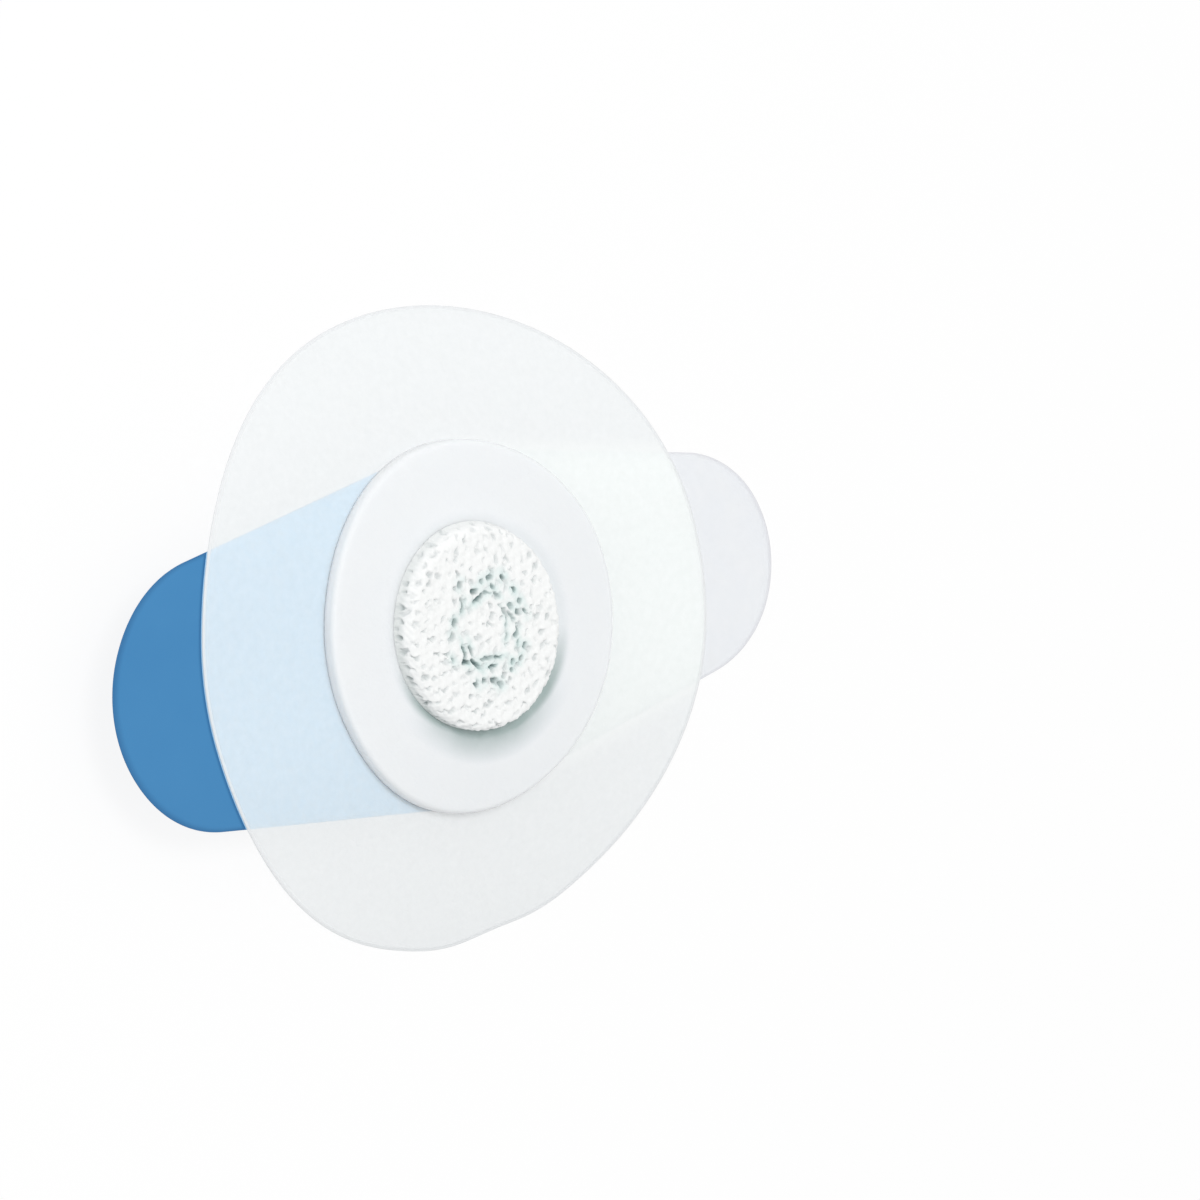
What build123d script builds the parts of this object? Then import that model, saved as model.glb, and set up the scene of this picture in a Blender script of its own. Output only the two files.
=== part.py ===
from build123d import *
import os
from math import asin, ceil, degrees, sin, sqrt

# A disposable monitoring electrode, in millimetres, lying on its back with its skin side up.
# A round translucent film, curled along Y, carries two tab labels on its back, a foam ring and a wet
# sponge on its front, and a sensor eyelet whose post goes through the middle into a steel snap stud.
# +Z points away from the back, towards the skin. -X is the blue tab's side.
# The origin is on the stud's axis, at the middle of the band of its head that a lead snaps over.

# Film
film_diameter = 60.0
film_thickness = 0.20
bend_radius = 56.0
adhesive_line = 0.03
rest_flat_depth = 0.08

# Tab labels, each a large root disc and a smaller tab disc joined by straight edges
label_thickness = 0.13
label_root_diameter = 32.8
blue_tab_diameter = 24.8
blue_tab_offset = 28.1
clear_tab_diameter = 21.0
clear_tab_offset = 28.4

# Foam ring, which carries the sponge and is stuck on a little off the stud's axis
ring_diameter = 33.4
ring_thickness = 1.20
ring_shift_x = 0.55
ring_shift_y = 0.30

# Sponge and the open cells in its face
sponge_diameter = 18.5
sponge_height = 2.85
sponge_rounding = 0.60
sponge_clearance = 0.12
cell_spacing = 0.82
cell_diameter = 0.95
cell_diameter_spread = 0.28
cell_floor_diameter = 0.40
fewest_cell_sides = 5
cell_depth = 0.60
sunken_cell_depth = 1.10
cell_edge_land = 0.10

# Snap stud, drawn from one sheet of steel
stud_sheet = 0.25
stud_flange_diameter = 10.0
stud_shoulder_diameter = 5.6
stud_shoulder_height = 0.80
stud_neck_diameter = 3.40
stud_head_diameter = 3.95
stud_head_start = 1.75
stud_head_band = 1.00
stud_tip_diameter = 2.50
stud_height = 4.10
clamp_margin = 0.20

# Sensor eyelet, whose post is swelled inside the stud's head
eyelet_flange_diameter = 9.8
eyelet_flange_thickness = 0.45
eyelet_rim_thickness = 0.25
eyelet_well_diameter = 5.0
eyelet_well_depth = 0.15
post_clearance = 0.10
post_end_taper = 0.50
flange_clearance = 0.10

# Heights of the layers at the middle, measured from the film's front face
blue_label_top = -film_thickness - adhesive_line
clear_label_top = blue_label_top - label_thickness - adhesive_line
back_face = clear_label_top - label_thickness

# The film's front face and the stud's seat on the back, measured from the origin
stud_seat = stud_head_start + stud_head_band / 2
film_height = stud_seat - back_face

# Radii that several pieces share
film_radius = film_diameter / 2
clamp_flat = stud_flange_diameter / 2 + clamp_margin
curled_radius = clamp_flat + bend_radius * sin((film_radius - clamp_flat) / bend_radius)
post_radius = stud_neck_diameter / 2 - stud_sheet - post_clearance
post_hole_radius = post_radius + post_clearance

golden_turn = 180 * (3 - sqrt(5))


def bent_bar(low, high):
    """A long bar whose section follows the film's bend, between two heights over its front face."""
    centre = film_height - bend_radius
    outer = bend_radius + high
    inner = bend_radius + low
    sweep = degrees(asin(curled_radius / inner))
    top_flat = Line((0, centre + outer), (clamp_flat, centre + outer))
    top_arc = CenterArc((clamp_flat, centre), outer, 90, -sweep)
    under_arc = CenterArc((clamp_flat, centre), inner, 90, -sweep)
    rim = Line(top_arc @ 1, under_arc @ 1)
    under_flat = Line((clamp_flat, centre + inner), (0, centre + inner))
    middle = Line((0, centre + inner), (0, centre + outer))
    half = make_face([top_flat, top_arc, rim, under_arc, under_flat, middle])
    section = Plane.YZ * (half + mirror(half, Plane.YZ))
    reach = film_diameter + blue_tab_diameter + clear_tab_diameter
    return extrude(section, reach, both=True)


def bent_layer(outline, low, high):
    """The part of the bent bar that stands over one flat outline."""
    prism = Pos(0, 0, -film_diameter) * extrude(outline, 3 * film_diameter)
    return bent_bar(low, high) & prism


def turned(outline, height):
    """A half section, drawn as radius and height, turned round the stud's axis."""
    return Pos(0, 0, height) * revolve(Plane.XZ * outline, Axis.Z)


def label_outline(tab_offset, tab_diameter):
    """Root disc and tab disc with their common tangents, less the hole for the eyelet's post."""
    root = Circle(label_root_diameter / 2)
    tab = Pos(tab_offset, 0) * Circle(tab_diameter / 2)
    return make_hull(root.edges() + tab.edges()) - Circle(post_hole_radius)


def backing_film():
    """The round carrier film, narrower along Y for its curl, flattened where its edges rest."""
    outline = Ellipse(film_radius, curled_radius) - Circle(post_hole_radius)
    film = bent_layer(outline, -film_thickness, 0)
    table = film.bounding_box().min.Z + rest_flat_depth
    return split(film, Plane.XY.offset(table), keep=Keep.TOP)


def blue_tab_label():
    """Blue label, glued to the film's back, its tab past the film's edge on the -X side."""
    outline = label_outline(-blue_tab_offset, blue_tab_diameter)
    return bent_layer(outline, blue_label_top - label_thickness, blue_label_top)


def clear_tab_label():
    """Clear label, glued over the blue one, its tab past the film's edge on the +X side."""
    outline = label_outline(clear_tab_offset, clear_tab_diameter)
    return bent_layer(outline, back_face, clear_label_top)


def foam_ring():
    """Die-cut foam ring, glued to the film's front, that keeps the gel in its hole."""
    hole = Circle(sponge_diameter / 2 + sponge_clearance)
    outline = Pos(ring_shift_x, ring_shift_y) * (Circle(ring_diameter / 2) - hole)
    return bent_layer(outline, adhesive_line, adhesive_line + ring_thickness)


def open_cell(sides, depth, mouth_diameter):
    """One open cell: a pit with flat walls that narrows from the sponge's face to its floor."""
    face = film_height + sponge_height
    mouth = Pos(0, 0, face) * RegularPolygon(mouth_diameter / 2, sides)
    floor = Pos(0, 0, face - depth) * RegularPolygon(cell_floor_diameter / 2, sides)
    walls = []
    for rim, foot in zip(mouth.edges(), floor.edges()):
        walls.append(Face(Wire.make_polygon([rim @ 0, rim @ 1, foot @ 1, foot @ 0])))
    return Solid(Shell([mouth.face(), floor.face(), *walls]))


def open_cells():
    """Cells in a spiral over the face, sunk deeper where the gel has settled on the eyelet."""
    field_radius = sponge_diameter / 2 - sponge_rounding - cell_edge_land - cell_diameter / 2
    count = ceil((field_radius / cell_spacing) ** 2)
    cells = []
    for index in range(1, count):
        turn = Rot(0, 0, golden_turn * index)
        place = Pos(ring_shift_x, ring_shift_y) * turn * Pos(cell_spacing * sqrt(index), 0)
        across_axis = 2 * place.position.length
        over_flange = eyelet_well_diameter < across_axis < eyelet_flange_diameter
        depth = sunken_cell_depth if over_flange else cell_depth
        mouth_diameter = cell_diameter - cell_diameter_spread * (1 + sin(index)) / 2
        sides = fewest_cell_sides + index % 3
        cells.append(place * open_cell(sides, depth, mouth_diameter))
    return cells


def gel_sponge():
    """Round-edged open-cell sponge in the ring's hole, recessed underneath for the eyelet's flange."""
    top = film_height + sponge_height
    face = Pos(ring_shift_x, ring_shift_y, top) * Circle(sponge_diameter / 2)
    block = extrude(face, -2 * sponge_height)
    block = fillet(block.edges().sort_by(Axis.Z)[-1], sponge_rounding)
    body = block - bent_bar(-2 * sponge_height, adhesive_line)
    recess_radius = eyelet_flange_diameter / 2 + flange_clearance
    recess_depth = eyelet_flange_thickness + flange_clearance
    recess = extrude(Circle(recess_radius), recess_depth)
    body -= Pos(0, 0, film_height) * recess
    return body - open_cells()


def sensor_eyelet():
    """Moulded eyelet: flange against the film, post through it, end swelled inside the stud."""
    flange = eyelet_flange_diameter / 2
    well = eyelet_well_diameter / 2
    bulb = stud_head_diameter / 2 - stud_sheet - post_clearance
    swell_start = back_face - stud_head_start
    swell_end = swell_start - stud_head_band
    outline = Polyline(
        (0, eyelet_flange_thickness - eyelet_well_depth),
        (well - eyelet_well_depth, eyelet_flange_thickness - eyelet_well_depth),
        (well, eyelet_flange_thickness),
        (flange - eyelet_rim_thickness, eyelet_flange_thickness),
        (flange, eyelet_rim_thickness),
        (flange, 0),
        (post_radius, 0),
        (post_radius, swell_start),
        (bulb, swell_start + post_radius - bulb),
        (bulb, swell_end),
        (bulb - post_end_taper, swell_end - post_end_taper),
        (0, swell_end - post_end_taper),
        close=True,
    )
    return turned(make_face(outline), film_height)


def stud_barrel(skin):
    """Half section of the stud's neck and head, or of the hollow one sheet inside them."""
    shoulder = stud_shoulder_diameter / 2 - skin
    neck = stud_neck_diameter / 2 - skin
    head = stud_head_diameter / 2 - skin
    tip = stud_tip_diameter / 2 - skin
    swell = head - neck
    band_end = -stud_head_start - stud_head_band
    wall = Polyline(
        (0, 0),
        (shoulder, 0),
        (shoulder, -stud_shoulder_height + skin),
        (neck, -stud_shoulder_height + skin),
        (neck, -stud_head_start + swell),
        (head, -stud_head_start),
        (head, band_end),
    )
    nose = Spline(
        (head, band_end),
        (tip, -stud_height + skin),
        tangents=[(0, -1), (-1, 0)],
    )
    end = Polyline((tip, -stud_height + skin), (0, -stud_height + skin), (0, 0))
    return make_face(wall.edges() + nose.edges() + end.edges())


def snap_stud():
    """Hollow steel stud: flange against the clear label, drawn neck and barrel-shaped head."""
    disc = extrude(Circle(stud_flange_diameter / 2), -stud_sheet)
    outside = Pos(0, 0, stud_seat) * disc + turned(stud_barrel(0), stud_seat)
    return outside - turned(stud_barrel(stud_sheet), stud_seat)


pieces = {
    "backing_film": backing_film(),
    "blue_tab_label": blue_tab_label(),
    "clear_tab_label": clear_tab_label(),
    "foam_ring": foam_ring(),
    "gel_sponge": gel_sponge(),
    "sensor_eyelet": sensor_eyelet(),
    "snap_stud": snap_stud(),
}

os.makedirs("parts", exist_ok=True)
for name, piece in pieces.items():
    export_step(piece, "parts/" + name + ".step")
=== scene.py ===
from math import asin, cos, pi, radians, sin

import bpy
import numpy as np
from bpy.props import FloatProperty, FloatVectorProperty, IntProperty, PointerProperty
from mathutils import Matrix, Vector


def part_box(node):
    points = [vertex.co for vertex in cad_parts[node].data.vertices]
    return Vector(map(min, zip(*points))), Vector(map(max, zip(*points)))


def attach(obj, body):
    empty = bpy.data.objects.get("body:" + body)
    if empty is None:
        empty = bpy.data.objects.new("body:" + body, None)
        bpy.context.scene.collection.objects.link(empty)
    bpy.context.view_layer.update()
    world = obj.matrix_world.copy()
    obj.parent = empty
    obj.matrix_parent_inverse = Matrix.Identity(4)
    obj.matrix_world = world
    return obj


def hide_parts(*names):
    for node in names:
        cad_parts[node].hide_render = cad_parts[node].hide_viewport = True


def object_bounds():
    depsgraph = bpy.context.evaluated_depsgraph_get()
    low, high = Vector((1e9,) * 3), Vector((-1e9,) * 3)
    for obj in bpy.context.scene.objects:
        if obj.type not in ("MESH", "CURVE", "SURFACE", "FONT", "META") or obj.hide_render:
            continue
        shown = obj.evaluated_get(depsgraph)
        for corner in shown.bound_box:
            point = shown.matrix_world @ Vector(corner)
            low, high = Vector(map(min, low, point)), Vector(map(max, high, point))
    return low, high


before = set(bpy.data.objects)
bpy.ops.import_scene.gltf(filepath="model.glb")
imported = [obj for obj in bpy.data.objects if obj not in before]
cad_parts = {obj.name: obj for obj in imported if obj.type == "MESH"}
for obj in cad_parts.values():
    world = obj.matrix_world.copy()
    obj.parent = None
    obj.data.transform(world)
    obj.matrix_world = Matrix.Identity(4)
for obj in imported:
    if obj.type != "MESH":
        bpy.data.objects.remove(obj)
cad_low, cad_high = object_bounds()

bl_info = {
    "name": "Monitoring electrode",
    "version": (1, 0, 0),
    "blender": (4, 5, 0),
    "location": "View3D > Sidebar > Electrode",
    "description": "Dresses a round monitoring electrode that lies on its back, skin side up",
    "category": "Add Mesh",
}

# Heights in the part's own frame: the film's front face at the middle, and what the part rests on
FILM_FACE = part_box("backing_film")[1].z
TABLE = cad_low.z

# Middle of the sponge, and of the ring that holds it, along X and Y
SPONGE_LOW, SPONGE_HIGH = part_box("gel_sponge")
SPONGE_MIDDLE = np.array((SPONGE_LOW + SPONGE_HIGH).xy) / 2

# Radius of the hole in film and labels that the eyelet's post goes through
HOLE_RADIUS = 0.00145

# Points round the film and the foam ring, and round a label
ROUND_POINTS = 384
LABEL_POINTS = 360

# Rings of points from the hole to the outline, on each face of the film and of a label
FILM_RINGS = 34
LABEL_RINGS = 30

# Rounded cut edge of film and labels: its depth as a share of their thickness, and its points
EDGE_SHARE = 0.4
EDGE_POINTS = 9

# Rings of points round each upper edge of the foam ring, over its face, and down each wall
RING_EDGE_RINGS = 6
RING_FACE_RINGS = 32
RING_WALL_RINGS = 9

# Points along each side of the grid over the sponge's face, and rings of points down its wall
SPONGE_GRID = 258
SPONGE_WALL_RINGS = 22

# Colour of the sky and of the light that the floor adds for the camera
WHITE = (1.0, 1.0, 1.0)


def width_of(node):
    """A node's size along X."""
    low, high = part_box(node)
    return high.x - low.x


def length_property(name, description, default):
    """A length that the user can change, in metres, shown to a hundredth of a millimetre."""
    return FloatProperty(
        name=name, description=description, default=default, unit="LENGTH", precision=5)


def colour_property(name, description, default):
    """A colour that the user can change."""
    return FloatVectorProperty(
        name=name, description=description, default=default, subtype="COLOR", min=0, max=1)


class FilmSettings(bpy.types.PropertyGroup):
    diameter: length_property(
        "Diameter", "Across the flat film, before it curls", width_of("backing_film"))
    thickness: length_property("Thickness", "Film with its adhesive", 0.0002)
    bend_radius: length_property("Bend radius", "Radius of the film's curl to each side", 0.056)
    clamped: length_property(
        "Clamped half width", "Half of the strip that the stud and eyelet keep flat", 0.0052)
    ripple: length_property("Ripple", "Height of the waves in the free film and tabs", 0.00010)
    kink: length_property(
        "Kink", "How far the edge is drawn in where it has buckled, on the -Y side", 0.00030)
    kink_turn: FloatProperty(
        name="Kink turn", description="Where on the edge the kink lies",
        default=radians(-83.5), unit="ROTATION")
    rim: length_property("Rim", "Width of the pale band along the cut edge", 0.00036)
    opacity: FloatProperty(
        name="Opacity", description="Share of light that each face of the film stops",
        default=0.46, subtype="FACTOR", min=0, max=1)
    colour: colour_property("Colour", "Milky film", (0.838, 0.868, 0.879))
    # Painted light: the film over the clear label is painted whiter, standing in for the light that the
    # label sends back through it
    backed_painted_light_colour: colour_property(
        "Backed colour", "Film where the clear label whitens it from behind", (0.93, 0.96, 0.95))


class LabelSettings(bpy.types.PropertyGroup):
    thickness: length_property("Thickness", "Label film with its adhesive", 0.00013)
    glue: length_property("Glue line", "Adhesive between two layers", 0.00003)
    root_diameter: length_property(
        "Root diameter", "Round end of a label, under the foam ring", 0.0328)
    blue_diameter: length_property("Blue tab diameter", "Round end of the blue tab", 0.0248)
    blue_offset: length_property(
        "Blue tab offset", "From the stud to the middle of the blue tab's round end", 0.0281)
    clear_diameter: length_property("Clear tab diameter", "Round end of the clear tab", 0.0210)
    clear_offset: length_property(
        "Clear tab offset", "From the stud to the middle of the clear tab's round end", 0.0284)
    blue: colour_property("Blue", "Blue tab in full light", (0.042, 0.225, 0.485))
    # Also the colour of the painted shadow beside the carrier film's edge
    blue_edge_and_shadow: colour_property("Blue edge", "Blue tab along its outline", (0.019, 0.143, 0.345))
    # Painted light: the front of the blue label under the film is painted paler, standing in for the
    # light that the milky film scatters over it
    blue_under_film_painted_light: colour_property(
        "Blue under the film", "Front of the blue label where milky adhesive wets it",
        (0.49, 0.755, 0.945))
    clear: colour_property("Clear", "Whitish clear tab", (0.81, 0.84, 0.885))
    # Painted light: the front of the clear label under the film is painted near white, standing in for
    # the light that the milky film scatters over it
    clear_under_film_painted_light: colour_property(
        "Clear under the film", "Front of the clear label where milky adhesive wets it",
        (0.95, 0.975, 0.965))
    clear_opacity: FloatProperty(
        name="Clear opacity", description="Share of light that each face of the clear label stops",
        default=0.5, subtype="FACTOR", min=0, max=1)


class FoamSettings(bpy.types.PropertyGroup):
    diameter: length_property("Diameter", "Across the foam ring", width_of("foam_ring"))
    hole_diameter: length_property(
        "Hole diameter", "Across the hole that holds the sponge", 0.01874)
    thickness: length_property("Thickness", "Foam sheet", 0.00120)
    rounding: length_property("Rounding", "Radius along the die-cut outer edge", 0.00045)
    hole_rounding: length_property("Hole rounding", "Radius along the edge of the hole", 0.00003)
    stretch_low: FloatVectorProperty(
        name="Stretch towards -X and -Y",
        description="Reach of the outline there, as a share of its radius",
        default=(0.988, 1.024), size=2)
    stretch_high: FloatVectorProperty(
        name="Stretch towards +X and +Y",
        description="Reach of the outline there, as a share of its radius",
        default=(1.026, 1.001), size=2)
    # Painted shadow: how far the sponge's painted shadow, with the gel tint, reaches past the hole
    # towards +X and -Y
    shadow_drift: FloatVectorProperty(
        name="Gel drift", description="How far the wet foam reaches past the hole to one side",
        default=(0.00125, -0.00070), size=2, unit="LENGTH", precision=5)
    # Painted shadow: the line along the hole and the margin past it paint the sponge's shadow together
    # with the gel tint
    gel_and_shadow_line: length_property("Gel line", "Width of the wet line along the hole", 0.0012)
    gel_margin: length_property(
        "Gel margin", "How far gel has run out from the hole towards -Y", 0.0028)
    bubble: length_property("Bubble size", "Across the closed bubbles of the foam", 0.00028)
    glow_depth: length_property("Glow depth", "How far light spreads inside the foam", 0.0006)
    colour: colour_property("Colour", "White foam", (0.872, 0.898, 0.925))
    # Painted light: the cut wall, and its foot more so, are coloured paler than the face to offset the
    # shade that falls on them
    wall_painted_light_colour: colour_property(
        "Wall colour", "Cut wall, whose open bubbles scatter more light", (0.915, 0.935, 0.965))
    foot_painted_light_colour: colour_property(
        "Foot colour", "Foot of the cut wall, paler still", (0.935, 0.955, 0.985))
    # Painted shadow: this colour paints the gel tint and the sponge's shadow round the hole
    gel_colour: colour_property(
        "Gel colour", "Margin of the hole that gel has wetted", (0.39, 0.475, 0.465))


class SpongeSettings(bpy.types.PropertyGroup):
    diameter: length_property("Diameter", "Across the sponge", width_of("gel_sponge"))
    swell: length_property(
        "Swell", "How far the foot of the sponge presses into the ring's hole", 0.00013)
    bulge: length_property(
        "Bulge", "How far the wall swells out over the ring on its -Y side", 0.00014)
    squeeze: length_property(
        "Squeeze", "How far the face is drawn in at each end of its width along X", 0.00022)
    lean: FloatVectorProperty(
        name="Lean", description="From the middle of the foot to the middle of the face",
        default=(0.00030, -0.00040), size=2, unit="LENGTH", precision=5)
    edge_rounding: length_property("Edge rounding", "Radius along the upper edge", 0.00070)
    cell_spacing: length_property(
        "Cell spacing", "Between the middles of neighbouring cells", 0.00074)
    cell_diameter: length_property("Cell diameter", "Across the mouth of a common cell", 0.00068)
    cell_depth: length_property("Cell depth", "Depth of a common cell", 0.00034)
    lumps: length_property("Lumps", "Half height of the lumps between the cells", 0.00004)
    wet_cells: IntProperty(
        name="Wet cells", description="Number of cells that are open down to the dark sensor",
        default=40, min=0)
    wet_offset: FloatVectorProperty(
        name="Wet offset", description="From the middle of the sponge to the middle of the wet cells",
        default=(-0.0001, -0.0001), size=2, unit="LENGTH", precision=5)
    wet_diameter: length_property("Wet cell diameter", "Across the mouth of such a cell", 0.00062)
    wet_depth: length_property("Wet cell depth", "Depth of such a cell", 0.00060)
    seed: IntProperty(
        name="Seed", description="Number that the scatter of cells starts from",
        default=11)
    colour: colour_property("Colour", "White sponge", (0.96, 0.97, 0.965))
    # Painted shade: the floors of the common cells are darkened for the shade in them
    cell_floor_shade_colour: colour_property("Cell colour", "Floor of a common cell", (0.50, 0.54, 0.545))
    wet_colour: colour_property(
        "Wet colour", "Sensor seen through gel at the foot of an open cell", (0.085, 0.145, 0.150))
    # Gel soak with painted shade, darker down the wall towards its foot
    soaked_and_shaded_colour: colour_property(
        "Soaked colour", "Foot of the wall, soaked with gel", (0.42, 0.48, 0.47))
    gel_colour: colour_property(
        "Gel colour", "Sponge over the sensor's flange", (0.74, 0.86, 0.845))


class SensorSettings(bpy.types.PropertyGroup):
    flange_diameter: length_property(
        "Flange diameter", "Across the sensor's flange", width_of("sensor_eyelet"))
    flange_height: length_property("Flange height", "Height of the flange over the film", 0.00045)
    clearance: length_property("Clearance", "Between the flange and the sponge round it", 0.0001)
    colour: colour_property("Colour", "Silver chloride coat", (0.25, 0.30, 0.31))
    bright_colour: colour_property(
        "Bright colour", "Where the silver shows through the coat", (0.44, 0.48, 0.48))


class StudSettings(bpy.types.PropertyGroup):
    colour: colour_property("Colour", "Nickel-plated steel", (0.74, 0.73, 0.70))
    stain_colour: colour_property("Stain colour", "Duller plating", (0.60, 0.59, 0.57))
    line_spacing: length_property(
        "Line spacing", "Between the drawing lines round the stud", 0.00011)


class StageSettings(bpy.types.PropertyGroup):
    lens: FloatProperty(
        name="Lens", description="Focal length on a 36 mm sensor",
        default=332.508, unit="CAMERA", precision=3)
    distance: length_property("Distance", "From the camera to the point that it aims at", 1.01118)
    azimuth: FloatProperty(
        name="Azimuth", description="Side that the camera looks from: 0 looks along +Y, 90 along -X",
        default=radians(-102.936), unit="ROTATION")
    elevation: FloatProperty(
        name="Elevation", description="Height of the camera over the horizon",
        default=radians(48.333), unit="ROTATION")
    roll: FloatProperty(
        name="Roll", description="Turn of the camera about its own view",
        default=radians(91.771), unit="ROTATION")
    aim: FloatVectorProperty(
        name="Aim", description="Point at the middle of the picture",
        default=(0.0170696, -0.0008267, 0.00277), subtype="XYZ", unit="LENGTH", precision=5)
    sky: FloatProperty(
        name="Sky", description="Strength of the even light from all round",
        default=0.64, min=0)
    lamp: FloatProperty(
        name="Lamp", description="Power of the soft lamp",
        default=1.50, unit="POWER", min=0)
    floor_colour: colour_property("Floor colour", "Pale floor", (0.985, 0.985, 0.985))
    floor_glow: FloatProperty(
        name="Floor glow", description="Share of plain white in what the camera sees of the floor",
        default=0.89, subtype="FACTOR", min=0, max=1)


class Shade:
    """One socket of a material's nodes. Sums and products of it add the Math nodes they need."""

    def __init__(self, tree, socket=None):
        self.tree = tree
        self.socket = socket

    def add(self, kind, settings=None, sockets=None, output=None):
        """Adds a node, its settings first, then its sockets' values or links, and gives an output."""
        node = self.tree.nodes.new(kind)
        for name, value in (settings or {}).items():
            setattr(node, name, value)
        for name, value in (sockets or {}).items():
            socket = next(s for s in node.inputs if s.identifier == name)
            if isinstance(value, Shade):
                self.tree.links.new(value.socket, socket)
            elif socket.type == "RGBA":
                socket.default_value = (*value, 1.0)
            else:
                socket.default_value = value
        outputs = [s for s in node.outputs if output in (None, s.identifier)]
        return Shade(self.tree, outputs[0]) if outputs else None

    def output(self, name):
        """Another output of this socket's node."""
        return Shade(self.tree, self.socket.node.outputs[name])

    def maths(self, operation, first, second=0.0):
        """A Math node on one or two values."""
        sockets = {"Value": first, "Value_001": second}
        return self.add("ShaderNodeMath", {"operation": operation}, sockets)

    def __add__(self, other):
        return self.maths("ADD", self, other)

    def __radd__(self, other):
        return self.maths("ADD", other, self)

    def __sub__(self, other):
        return self.maths("SUBTRACT", self, other)

    def __rsub__(self, other):
        return self.maths("SUBTRACT", other, self)

    def __mul__(self, other):
        return self.maths("MULTIPLY", self, other)

    def __rmul__(self, other):
        return self.maths("MULTIPLY", other, self)

    def between(self, low, high):
        """A number that goes evenly from low to high as this value goes from 0 to 1."""
        return self * (high - low) + low

    def rise(self, low, high):
        """A smooth step from 0 to 1 as this value goes from low to high."""
        sockets = {"Value": self, "From Min": low, "From Max": high}
        return self.add("ShaderNodeMapRange", {"interpolation_type": "SMOOTHSTEP"}, sockets)

    def blend(self, low, high):
        """A colour between two, with this value as the share of the second."""
        sockets = {"Factor_Float": self, "A_Color": low, "B_Color": high}
        return self.add("ShaderNodeMix", {"data_type": "RGBA"}, sockets, "Result_Color")

    def mesh_value(self, name):
        """One of the mesh's own values, which its points carry."""
        return self.add("ShaderNodeAttribute", {"attribute_name": name}, None, "Fac")

    def noise(self, size, detail):
        """Soft noise with grains of one size in metres, where this socket is the place."""
        sockets = {"Vector": self, "Scale": 1 / size, "Detail": detail}
        return self.add("ShaderNodeTexNoise", None, sockets)

    def bump(self, height):
        """A normal for a surface raised by this value times a height in metres."""
        sockets = {"Height": self, "Distance": height, "Strength": 1.0}
        return self.add("ShaderNodeBump", None, sockets)


def new_material(name):
    """An empty material, and the place of its points in metres."""
    material = bpy.data.materials.new(name)
    material.use_nodes = True
    tree = material.node_tree
    tree.nodes.clear()
    return material, Shade(tree).add("ShaderNodeTexCoord", None, None, "Object")


def finish_material(place, sockets):
    """Ends a material in one Principled surface with these sockets."""
    surface = place.add("ShaderNodeBsdfPrincipled", None, sockets)
    place.add("ShaderNodeOutputMaterial", None, {"Surface": surface})


def film_material(film):
    """Mottled milky film, denser along its cut rim, and painted whiter over the clear label for the
    light that the label sends back through it.
    """
    material, place = new_material("milky_film")
    mottle_colour = (0.95, 0.96, 0.965)
    rim_colour = (0.84, 0.855, 0.865)
    opacity_spread = 0.04
    rim_opacity = 0.35
    mottle = place.noise(size=0.0009, detail=4.0)
    grain = place.noise(size=0.00012, detail=2.0)
    rim = 1 - place.mesh_value("inset").rise(film.rim * 0.5, film.rim)
    opacity = mottle.between(film.opacity - opacity_spread, film.opacity + opacity_spread)
    # Painted light: whiter over the clear label
    colour = place.mesh_value("backed").blend(film.colour, film.backed_painted_light_colour)
    colour = (mottle * 0.3).blend(colour, mottle_colour)
    finish_material(place, {
        "Base Color": (rim * 0.8).blend(colour, rim_colour),
        "Roughness": mottle.between(0.32, 0.52),
        "Alpha": opacity + rim * rim_opacity,
        "Normal": (grain * 0.5 + mottle).bump(height=0.000012),
    })
    return material


def under_film(place):
    """1 on the front of a label where the film covers it."""
    soft_line = 0.00004
    covered = 1 - place.mesh_value("past_film").rise(-soft_line, soft_line)
    return covered * place.mesh_value("front")


def blue_material(labels):
    """Blue film, darker along its outline, with a painted shadow beside the carrier film's edge, and
    painted paler under the film.
    """
    material, place = new_material("blue_label_film")
    cloud_colour = (0.10, 0.33, 0.60)
    cloud = place.noise(size=0.004, detail=3.0)
    grain = place.noise(size=0.00010, detail=2.0)
    past_film = place.mesh_value("past_film")
    middle = place.mesh_value("inset").rise(-0.0001, 0.0009)
    # Painted shadow of the film's edge: it starts at the film's edge and has faded out 0.4 mm past it
    film_edge_shadow = past_film.rise(-0.00005, 0.00005) - past_film.rise(0.0001, 0.0004)
    full = middle - film_edge_shadow * 0.9
    paint = full.blend(labels.blue_edge_and_shadow, labels.blue)
    paint = (cloud * 0.16).blend(paint, cloud_colour)
    finish_material(place, {
        # Painted light: paler under the film, for the light that the milky film scatters over it
        "Base Color": under_film(place).blend(paint, labels.blue_under_film_painted_light),
        "Roughness": cloud.between(0.36, 0.51),
        "Specular IOR Level": 0.35,
        "Normal": grain.bump(height=0.000006),
    })
    return material


def clear_material(labels):
    """Whitish see-through film, denser along its outline."""
    material, place = new_material("clear_label_film")
    cloud_colour = (0.86, 0.875, 0.89)
    rim_colour = (0.76, 0.76, 0.79)
    opacity_spread = 0.08
    rim_opacity = 0.3
    cloud = place.noise(size=0.003, detail=3.0)
    grain = place.noise(size=0.00010, detail=2.0)
    rim = 1 - place.mesh_value("inset").rise(0.0001, 0.0005)
    opacity = cloud.between(labels.clear_opacity, labels.clear_opacity + opacity_spread)
    colour = cloud.blend(labels.clear, cloud_colour)
    colour = (rim * 0.6).blend(colour, rim_colour)
    finish_material(place, {
        # Painted light: near white under the film, for the light that the milky film scatters over it
        "Base Color": under_film(place).blend(colour, labels.clear_under_film_painted_light),
        "Roughness": cloud.between(0.30, 0.45),
        "Alpha": opacity + rim * rim_opacity,
        "Normal": grain.bump(height=0.000006),
    })
    return material


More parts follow.
